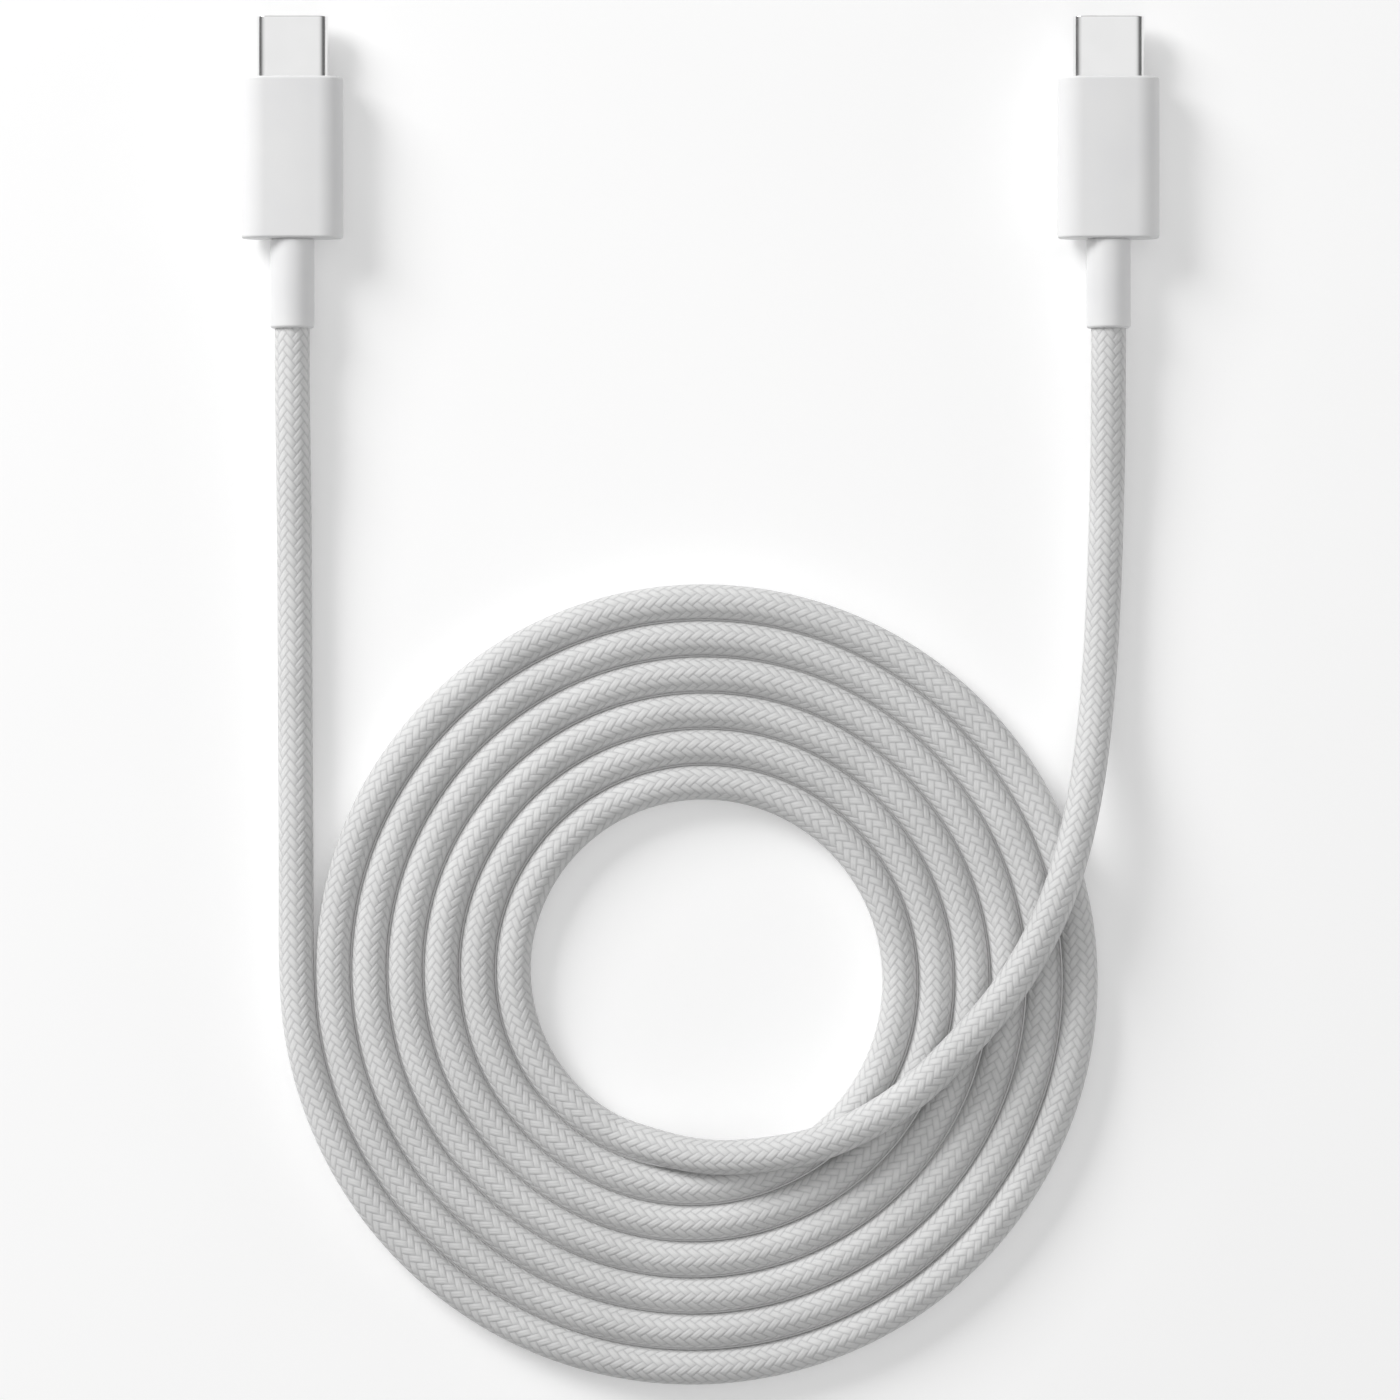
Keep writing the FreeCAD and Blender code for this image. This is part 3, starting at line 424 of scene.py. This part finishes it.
def braid_pattern(tree):
    """The place along a float, 0 to 2, the place across its yarn, 0 to 1, and the yarn's number."""
    uv = add(tree, "UVMap", uv_map="braid").outputs[0]
    place = add(tree, "SeparateXYZ", {0: uv})
    along = calc(tree, "DIVIDE", place.outputs[0], YARN_PITCH)
    around = calc(tree, "DIVIDE", place.outputs[1], YARN_SPACING)
    right = calc(tree, "ADD", along, around)
    left = calc(tree, "SUBTRACT", along, around)
    right_yarn = calc(tree, "FLOOR", right)
    left_yarn = calc(tree, "FLOOR", left)
    in_right = calc(tree, "SUBTRACT", right, right_yarn)
    in_left = calc(tree, "SUBTRACT", left, left_yarn)
    difference = calc(tree, "SUBTRACT", right_yarn, left_yarn)
    order = calc(tree, "FLOORED_MODULO", difference, 2 * OVER)
    right_on_top = calc(tree, "LESS_THAN", order, OVER - 0.5)
    right_way = calc(tree, "ADD", calc(tree, "SUBTRACT", OVER - 1, order), in_left)
    left_way = calc(tree, "ADD", calc(tree, "SUBTRACT", order, OVER), in_right)
    way = choose(tree, right_on_top, left_way, right_way)
    across = choose(tree, right_on_top, in_left, in_right)
    yarn = choose(tree, right_on_top, left_yarn, right_yarn)
    return way, across, yarn


print("braid:", 2 * YARNS_EACH_WAY, "yarns,", round(YARN_SPACING / MM, 2), "mm apart")

# %% [markdown]
# The height of a yarn is a product of three waves: along the float, across the yarn, and a weaker one that
# splits the yarn in two. A power below one makes a wave fuller, so that the yarns look packed. Fine noise
# stretched along the yarn stands for its fibres.

# %% Height of the yarns
FLOAT_FULLNESS = 0.55
YARN_FULLNESS = 0.6
SPLIT_FULLNESS = 0.5
SPLIT = 0.3
FIBRES_ACROSS = 9
FIBRES_ALONG = 1.4
YARN_SHIFT = 5.3


def sine_of(tree, value, factor):
    """The sine of a value times a factor."""
    return calc(tree, "SINE", calc(tree, "MULTIPLY", value, factor))


def yarn_height(tree, way, across):
    """The height of the yarns' surface, from 0 to 1."""
    crown = calc(tree, "POWER", sine_of(tree, way, math.pi / OVER), FLOAT_FULLNESS)
    round_yarn = calc(tree, "POWER", sine_of(tree, across, math.pi), YARN_FULLNESS)
    ends = calc(tree, "ABSOLUTE", sine_of(tree, across, 2 * math.pi))
    ends = calc(tree, "MULTIPLY_ADD", calc(tree, "POWER", ends, SPLIT_FULLNESS), SPLIT, 1 - SPLIT)
    return calc(tree, "MULTIPLY", calc(tree, "MULTIPLY", crown, round_yarn), ends)


def fibre_noise(tree, way, across, yarn):
    """Noise stretched along each yarn, and different from yarn to yarn."""
    inputs = {
        0: calc(tree, "MULTIPLY", across, FIBRES_ACROSS),
        1: calc(tree, "MULTIPLY", way, FIBRES_ALONG),
        2: calc(tree, "MULTIPLY", yarn, YARN_SHIFT),
    }
    place = add(tree, "CombineXYZ", inputs).outputs[0]
    return add(tree, "TexNoise", {"Vector": place, "Scale": 1.0, "Detail": 2.0}).outputs[0]


print("a float passes over", OVER, "yarns")

# %% [markdown]
# The finish adds both up. The dips between yarns are painted darker than their tops, as painted shade, slow
# patches keep the cord from looking printed, and a little sheen stands for loose fibre ends.

# %% Finish of the braid
YARN_RISE = 0.09 * MM
RISE_STRENGTH = 0.9
FIBRE_RISE = 0.18
# How strongly the painted shade darkens the dips between yarns.
DIP_SHADE_IN_TONE = 0.9
FIBRE_IN_TONE = 0.12
PATCH_SCALE = 90
BRAID_ROUGHNESS = 0.68
FIBRE_ROUGHNESS = 0.15
SHEEN = 0.08
SHEEN_ROUGHNESS = 0.4


def braid_finish():
    """White braided yarn, drawn on the cord's UV map, with painted shade in the dips between yarns."""
    material, tree, shader = new_finish("white_braid")
    way, across, yarn = braid_pattern(tree)
    height = yarn_height(tree, way, across)
    fibre = fibre_noise(tree, way, across, yarn)
    surface = calc(tree, "MULTIPLY_ADD", fibre, FIBRE_RISE, height)
    put(tree, bump(tree, surface, YARN_RISE, strength=RISE_STRENGTH), shader.inputs["Normal"])

    # Painted shade: the yarn's height darkens its colour, so the dips between yarns are painted darker than
    # the tops; the fibre noise adds a real, random tone.
    fibre_tone = calc(tree, "MULTIPLY", fibre, FIBRE_IN_TONE)
    dip_shade_and_fibre_tone = calc(tree, "MULTIPLY_ADD", height, DIP_SHADE_IN_TONE, fibre_tone)
    yarn_colour_with_dip_shade = shades(tree, dip_shade_and_fibre_tone, (0.0, 0.53), (0.35, 0.69), (1.0, (0.78, 0.78, 0.775)))
    patches = object_noise(tree, PATCH_SCALE, detail=2)
    patch_colour = shades(tree, patches, (0.35, 0.93), (0.65, 1.0))
    inputs = {0: 1.0, 6: yarn_colour_with_dip_shade, 7: patch_colour}
    colour = add(tree, "Mix", inputs, data_type="RGBA", blend_type="MULTIPLY").outputs[2]
    put(tree, colour, shader.inputs["Base Color"])
    rough = calc(tree, "MULTIPLY_ADD", fibre, FIBRE_ROUGHNESS, BRAID_ROUGHNESS)
    put(tree, rough, shader.inputs["Roughness"])
    shader.inputs["Sheen Weight"].default_value = SHEEN
    shader.inputs["Sheen Roughness"].default_value = SHEEN_ROUGHNESS
    return material


braid = braid_finish()
for cord in (cord_a, cord_b):
    cord.data.materials.clear()
    cord.data.materials.append(braid)
print("cords dressed in", braid.name)

# %% [markdown]
# ## Moulded plastic
#
# The housings are a glossy white plastic, and the strain reliefs a slightly softer and duller one. Moulded
# plastic is never quite even: a slow waviness from cooling and a very fine grain from the tool's surface
# break its reflections up. One function makes every plastic in the cable, with its colour, gloss and grain.

# %% Finish of plastics
FLOW_SCALE = 160
WAVE_SCALE = 230
GRAIN_SCALE = 5200
WAVE_DEPTH = 0.02 * MM
WAVE_STRENGTH = 0.4
GRAIN_STRENGTH = 0.5
GRAIN_ROUGHNESS = 0.10


def plastic_finish(name, light, dark, gloss, grain, shine=0.5):
    """A plastic between two colours. gloss is its roughness, grain the depth of its texture in mm."""
    material, tree, shader = new_finish(name)
    flow = object_noise(tree, FLOW_SCALE, detail=2)
    put(tree, shades(tree, flow, (0.35, dark), (0.65, light)), shader.inputs["Base Color"])
    fine = object_noise(tree, GRAIN_SCALE, detail=2)
    rough = calc(tree, "MULTIPLY_ADD", fine, GRAIN_ROUGHNESS, gloss - GRAIN_ROUGHNESS / 2)
    put(tree, rough, shader.inputs["Roughness"])
    wave = bump(tree, object_noise(tree, WAVE_SCALE, detail=1), WAVE_DEPTH, strength=WAVE_STRENGTH)
    surface = bump(tree, fine, grain * MM, before=wave, strength=GRAIN_STRENGTH)
    put(tree, surface, shader.inputs["Normal"])
    shader.inputs["Specular IOR Level"].default_value = shine
    return material


white_housing = plastic_finish("white_housing", 0.84, (0.82, 0.82, 0.825), 0.42, 0.004, 0.2)
white_relief = plastic_finish("white_relief", 0.83, (0.79, 0.79, 0.795), 0.42, 0.008)
white_jacket = plastic_finish("white_jacket", 0.74, 0.68, 0.55, 0.02)
white_mould = plastic_finish("white_mould", 0.78, (0.73, 0.73, 0.735), 0.38, 0.006)
black_insulator = plastic_finish("black_insulator", (0.030, 0.030, 0.032), (0.018, 0.018, 0.02), 0.38, 0.008)
wire_black = plastic_finish("wire_black", 0.03, 0.02, 0.35, 0.004)
wire_red = plastic_finish("wire_red", (0.55, 0.03, 0.025), (0.45, 0.02, 0.02), 0.35, 0.004)
wire_blue = plastic_finish("wire_blue", (0.03, 0.10, 0.45), (0.02, 0.07, 0.36), 0.35, 0.004)
wire_green = plastic_finish("wire_green", (0.03, 0.33, 0.08), (0.02, 0.26, 0.06), 0.35, 0.004)
wire_white = plastic_finish("wire_white", (0.78, 0.78, 0.76), (0.72, 0.72, 0.70), 0.35, 0.004)
card_laminate = plastic_finish("card_laminate", (0.02, 0.16, 0.07), (0.015, 0.11, 0.05), 0.33, 0.006)
capacitor_ceramic = plastic_finish("capacitor_ceramic", (0.42, 0.30, 0.19), (0.34, 0.24, 0.15), 0.5, 0.01)
print("plastics ready")

# %% [markdown]
# ## Metals
#
# The shells are drawn from thin steel and nickel-plated: bright, with a satin surface. Drawing leaves very
# fine lines along the shell, so the noise that roughens it is stretched along Y. The springs, the tin
# plate, the gold contacts, the copper and the solder differ in colour and in how coarse they are.

# %% Finish of metals
DRAWN = (1, 0.06, 1)
BRAIDED = (1, 0.5, 1)
EVEN = (1, 1, 1)
LINE_SCALE = 9000
CLOUD_SCALE = 420
LINE_ROUGHNESS = 0.06
CLOUD_ROUGHNESS = 0.04
LINE_STRENGTH = 0.4


def metal_finish(name, light, dark, gloss, scratch, stretch=DRAWN, scale=LINE_SCALE):
    """A metal between two colours. scratch is the depth of its lines in mm, stretch their direction."""
    material, tree, shader = new_finish(name)
    shader.inputs["Metallic"].default_value = 1.0
    lines = object_noise(tree, scale, detail=3, stretch=stretch)
    cloud = object_noise(tree, CLOUD_SCALE, detail=3)
    put(tree, shades(tree, cloud, (0.3, dark), (0.7, light)), shader.inputs["Base Color"])
    rough = calc(tree, "MULTIPLY_ADD", lines, LINE_ROUGHNESS, gloss - LINE_ROUGHNESS / 2)
    rough = calc(tree, "MULTIPLY_ADD", cloud, CLOUD_ROUGHNESS, rough)
    put(tree, rough, shader.inputs["Roughness"])
    put(tree, bump(tree, lines, scratch * MM, strength=LINE_STRENGTH), shader.inputs["Normal"])
    return material


satin_steel = metal_finish("satin_steel", 0.89, 0.87, 0.19, 0.0002)
spring_steel = metal_finish("spring_steel", 0.70, (0.62, 0.62, 0.63), 0.30, 0.003)
tin_plate = metal_finish("tin_plate", (0.74, 0.74, 0.73), 0.66, 0.40, 0.006, EVEN, 3000)
gold_contact = metal_finish("gold_contact", (0.95, 0.72, 0.32), (0.88, 0.63, 0.25), 0.22, 0.002)
copper = metal_finish("copper", (0.86, 0.46, 0.32), (0.76, 0.38, 0.25), 0.32, 0.004)
solder = metal_finish("solder", (0.72, 0.72, 0.73), (0.60, 0.60, 0.62), 0.34, 0.010, EVEN, 2600)
screen_wire = metal_finish("screen_wire", (0.80, 0.62, 0.50), (0.62, 0.42, 0.32), 0.40, 0.03, BRAIDED, 5200)
print("metals ready")

# %% [markdown]
# ## Dressing the inner pieces
#
# The pieces inside a plug are already right in the CAD model, so they stay as they are and only get their
# finish. Each CAD mesh is given its material by the piece's name without the plug's letter.

# %% Give every CAD piece its finish
FINISH_OF = {
    "shell": satin_steel,
    "insulator": black_insulator,
    "contacts_top": gold_contact,
    "contacts_bottom": gold_contact,
    "ground_spring_top": spring_steel,
    "ground_spring_bottom": spring_steel,
    "latch_spring": spring_steel,
    "paddle_card": card_laminate,
    "bypass_capacitors": capacitor_ceramic,
    "rear_shield_top": tin_plate,
    "rear_shield_bottom": tin_plate,
    "crimp_ring": tin_plate,
    "inner_mould": white_mould,
    "housing": white_housing,
    "strain_relief": white_relief,
    "jacket_end": white_jacket,
    "screen_end": screen_wire,
    "wire_power": wire_red,
    "wire_ground": wire_black,
    "wire_control": wire_blue,
    "wire_data_plus": wire_green,
    "wire_data_minus": wire_white,
    "wire_cores": copper,
    "solder_joints": solder,
}
dressed = 0
for name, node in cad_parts.items():
    finish = FINISH_OF.get(name.rsplit("_", 1)[0])
    if finish:
        node.data.materials.clear()
        node.data.materials.append(finish)
        dressed += 1
print(dressed, "CAD pieces dressed")

# %% [markdown]
# ## Sleeves with an oval section
#
# Housing, shell and strain relief are all sleeves: a wall that goes round a hollow. Each could be a solid
# with a hole cut through it, but cutting leaves untidy faces. Here a sleeve is a chain of rings, oval or
# round, that follows its wall's section once around, outside and back through the inside. The operator
# bridge_loops joins each ring to the next, and a bevel rounds the rims that the eye can see. Two rings in
# the same plane confuse the operator, so the rings are first stacked one behind the other, joined, and
# only then moved to their places.

# %% Helpers for sleeves
RING_POINTS = 96
CROWN_CUTS = 12


def oval_ring(bm, centre, width, height, y):
    """A ring across the plug: a circle whose two halves are moved apart to make an oval."""
    turn = Matrix.Rotation(math.radians(90), 4, "X") @ Matrix.Rotation(math.pi / RING_POINTS, 4, "Z")
    made = bmesh.ops.create_circle(bm, cap_ends=False, segments=RING_POINTS, radius=height / 2, matrix=turn)
    verts = made["verts"]
    reach = (width - height) / 2
    right = [v for v in verts if v.co.x > 0]
    left = [v for v in verts if v.co.x < 0]
    bmesh.ops.translate(bm, verts=right, vec=(reach, 0, 0))
    bmesh.ops.translate(bm, verts=left, vec=(-reach, 0, 0))
    bmesh.ops.translate(bm, verts=verts, vec=(centre[0], y, centre[1]))
    return list({edge for v in verts for edge in v.link_edges})


def crown_flats(bm, centre, width, height, wall, crown):
    """Makes the two flat outer sides bulge: their middles stay, and their edges sink by crown."""
    reach = (width - height) / 2
    for n in range(CROWN_CUTS):
        x = centre[0] + reach * (2 * (n + 0.5) / CROWN_CUTS - 1)
        geometry = [*bm.verts, *bm.edges, *bm.faces]
        bmesh.ops.bisect_plane(bm, geom=geometry, plane_co=(x, 0, 0), plane_no=(1, 0, 0))
    for v in bm.verts:
        outwards = max(0, 1 - (height / 2 - abs(v.co.z - centre[1])) / wall)
        sink = crown * outwards * min(1, abs(v.co.x - centre[0]) / reach) ** 2
        v.co.z -= math.copysign(sink, v.co.z - centre[1])


print("a ring has", RING_POINTS, "points")

# %% [markdown]
# Every sleeve is then made in the same order: stack the rings, bridge them, move them, round the rims, crown
# the flats where there is a crown, and shade it smooth except at its sharp edges.

# %% Make a sleeve
BEVEL_STEPS = 5
STACK = 1 * MM
SHARP = math.radians(35)


def make_sleeve(name, plug, finish, rings, rims, wall=0.0, crown=0.0):
    """Bridges the rings in a closed chain. rims gives the rounding of a ring's edges by its number."""
    sizes = PLUGS[plug]
    centre = (sizes["x"], sizes["z"])
    bm = bmesh.new()
    loops = [oval_ring(bm, centre, ring[0], ring[1], -n * STACK) for n, ring in enumerate(rings)]
    for loop, after in zip(loops, loops[1:] + loops[:1]):
        bmesh.ops.bridge_loops(bm, edges=loop + after)
    for n, (loop, ring) in enumerate(zip(loops, rings)):
        verts = list({v for edge in loop for v in edge.verts})
        bmesh.ops.translate(bm, verts=verts, vec=(0, ring[2] + n * STACK, 0))
    for number, radius in rims.items():
        bmesh.ops.bevel(
            bm,
            geom=loops[number],
            offset=radius,
            offset_type="OFFSET",
            segments=BEVEL_STEPS,
            profile=0.5,
            affect="EDGES",
            material=-1,
        )
    if crown:
        crown_flats(bm, centre, *rings[0][:2], wall, crown)
    bmesh.ops.recalc_face_normals(bm, faces=bm.faces)
    for face in bm.faces:
        face.smooth = True
    for edge in bm.edges:
        edge.smooth = len(edge.link_faces) == 2 and edge.calc_face_angle() < SHARP
    mesh = bpy.data.meshes.new(f"{name}_{plug}")
    bm.to_mesh(mesh)
    bm.free()
    mesh.materials.append(finish)
    sleeve = bpy.data.objects.new(f"{name}_{plug}", mesh)
    bpy.context.scene.collection.objects.link(sleeve)
    normals = sleeve.modifiers.new("even_shading", "WEIGHTED_NORMAL")
    normals.keep_sharp = True
    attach(sleeve, f"plug_{plug}")
    print(sleeve.name, len(mesh.polygons), "faces")
    return sleeve


# %% [markdown]
# ## Steel shells
#
# The part that goes into a socket is a tube of thin sheet with an oval section and a softly rounded lip.
# Only the lip is rounded: the other rims are inside the housing.

# %% Make the shells
SHELL_WALL = 0.25 * MM
LIP = 0.12 * MM

for plug, sizes in PLUGS.items():
    width, height = sizes["shell_width"], sizes["shell_height"]
    outside = (width, height)
    inside = (width - 2 * SHELL_WALL, height - 2 * SHELL_WALL)
    rings = [
        (*outside, sizes["tip"]),
        (*outside, sizes["shell_end"]),
        (*inside, sizes["shell_end"]),
        (*inside, sizes["tip"]),
    ]
    shell = make_sleeve("steel_shell", plug, satin_steel, rings, {0: LIP})
    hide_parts(f"shell_{plug}")

# %% [markdown]
# ## Housings
#
# The housing is the piece that fingers hold. Its front is open around the inner mould, which shows as a
# narrow face around the shell, and a wall at its back holds the strain relief. Both outer rims are rounded.

# %% Make the housings
HOUSING_WALL = 0.67 * MM
REAR_WALL = 0.8 * MM
NECK_WALL = 0.27 * MM
CLEARANCE = 0.03 * MM
HOUSING_RIM = 0.3 * MM
CROWN = 0.09 * MM

for plug, sizes in PLUGS.items():
    outside = (sizes["width"], sizes["height"])
    cavity = (sizes["width"] - 2 * HOUSING_WALL, sizes["height"] - 2 * HOUSING_WALL)
    hole = sizes["cord"] + 2 * NECK_WALL + 4 * CLEARANCE
    wall = sizes["back"] + REAR_WALL
    rings = [
        (*outside, sizes["front"]),
        (*outside, sizes["back"]),
        (hole, hole, sizes["back"]),
        (hole, hole, wall),
        (*cavity, wall),
        (*cavity, sizes["front"]),
    ]
    rims = {0: HOUSING_RIM, 1: HOUSING_RIM}
    housing = make_sleeve(
        "housing_sleeve", plug, white_housing, rings, rims, wall=HOUSING_WALL, crown=CROWN
    )
    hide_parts(f"housing_{plug}")

# %% [markdown]
# ## Strain reliefs
#
# A soft sleeve keeps the cord from bending sharply where it leaves the housing. An anchor block inside the
# housing holds it, a thin neck passes through the rear wall, and the sleeve behind has a rounded end. The
# small step at the neck makes the dark line between housing and sleeve.

# %% Make the strain reliefs
ANCHOR_LENGTH = 1.0 * MM
ANCHOR_COVER = 0.17 * MM
NECK_RECESS = 0.15 * MM
SLEEVE_END = 0.35 * MM
SLEEVE_FRONT = 0.1 * MM

for plug, sizes in PLUGS.items():
    bore = sizes["cord"] + 2 * CLEARANCE
    neck = bore + 2 * NECK_WALL
    anchor = (sizes["anchor_width"], bore + 2 * ANCHOR_COVER)
    anchor_back = sizes["anchor_front"] - ANCHOR_LENGTH
    sleeve_front = sizes["back"] - NECK_RECESS
    rings = [
        (sizes["relief"], sizes["relief"], sleeve_front),
        (sizes["relief"], sizes["relief"], sizes["exit"]),
        (bore, bore, sizes["exit"]),
        (bore, bore, sizes["anchor_front"]),
        (*anchor, sizes["anchor_front"]),
        (*anchor, anchor_back),
        (neck, neck, anchor_back),
        (neck, neck, sleeve_front),
    ]
    rims = {0: SLEEVE_FRONT, 1: SLEEVE_END}
    relief = make_sleeve("relief_sleeve", plug, white_relief, rings, rims)
    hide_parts(f"strain_relief_{plug}")

# %% [markdown]
# ## Table and light
#
# The studio is a pale table under one large soft light from the upper left, so that each turn of the cord
# is bright on that side and shaded on the other. A weak light low on the right gives the far sides a rim.
# The table glows slightly, which keeps it nearly white. The sky is pale overhead and dark at the horizon, so
# it fills the shadows from above.

# %% Table
FLOOR_SIZE = 3.0
FLOOR_PATCHES = 12
FLOOR_ROUGHNESS = 0.9
FLOOR_GLOW = 0.18

bm = bmesh.new()
bmesh.ops.create_grid(bm, x_segments=1, y_segments=1, size=FLOOR_SIZE / 2)
floor_mesh = bpy.data.meshes.new("table_top")
bm.to_mesh(floor_mesh)
bm.free()
floor = bpy.data.objects.new("table_top", floor_mesh)
bpy.context.scene.collection.objects.link(floor)
floor_finish, floor_tree, floor_shader = new_finish("pale_table")
floor_tone = shades(floor_tree, object_noise(floor_tree, FLOOR_PATCHES, detail=2), (0.3, 0.88), (0.7, 0.90))
put(floor_tree, floor_tone, floor_shader.inputs["Base Color"])
floor_shader.inputs["Roughness"].default_value = FLOOR_ROUGHNESS
floor_shader.inputs["Emission Color"].default_value = (1, 1, 1, 1)
floor_shader.inputs["Emission Strength"].default_value = FLOOR_GLOW
floor_mesh.materials.append(floor_finish)
print("table:", FLOOR_SIZE, "m wide")

# %% Lights and sky


def soft_light(name, place, size, power):
    """A square area light that faces the middle of the cable. Size in metres, power in watts."""
    data = bpy.data.lights.new(name, "AREA")
    data.shape = "SQUARE"
    data.size = size
    data.energy = power
    lamp = bpy.data.objects.new(name, data)
    lamp.location = place
    lamp.rotation_euler = (VIEW_CENTRE - Vector(place)).to_track_quat("-Z", "Y").to_euler()
    bpy.context.scene.collection.objects.link(lamp)


soft_light("key_light", (-0.86, 0.72, 0.62), 0.6, 14.0)
soft_light("rim_light", (0.9, -0.2, 0.10), 0.3, 1.1)
world = bpy.data.worlds.new("studio")
world.use_nodes = True
sky_tree = world.node_tree
sky_height = add(sky_tree, "SeparateXYZ", {0: add(sky_tree, "TexCoord").outputs["Generated"]}).outputs[2]
sky = shades(sky_tree, sky_height, (0.0, 0.02), (0.55, 0.15), (0.85, 0.75), (1.0, 0.95))
put(sky_tree, sky, sky_tree.nodes["Background"].inputs["Color"])
bpy.context.scene.world = world
bpy.context.scene.view_settings.view_transform = "Standard"
print("lights ready")
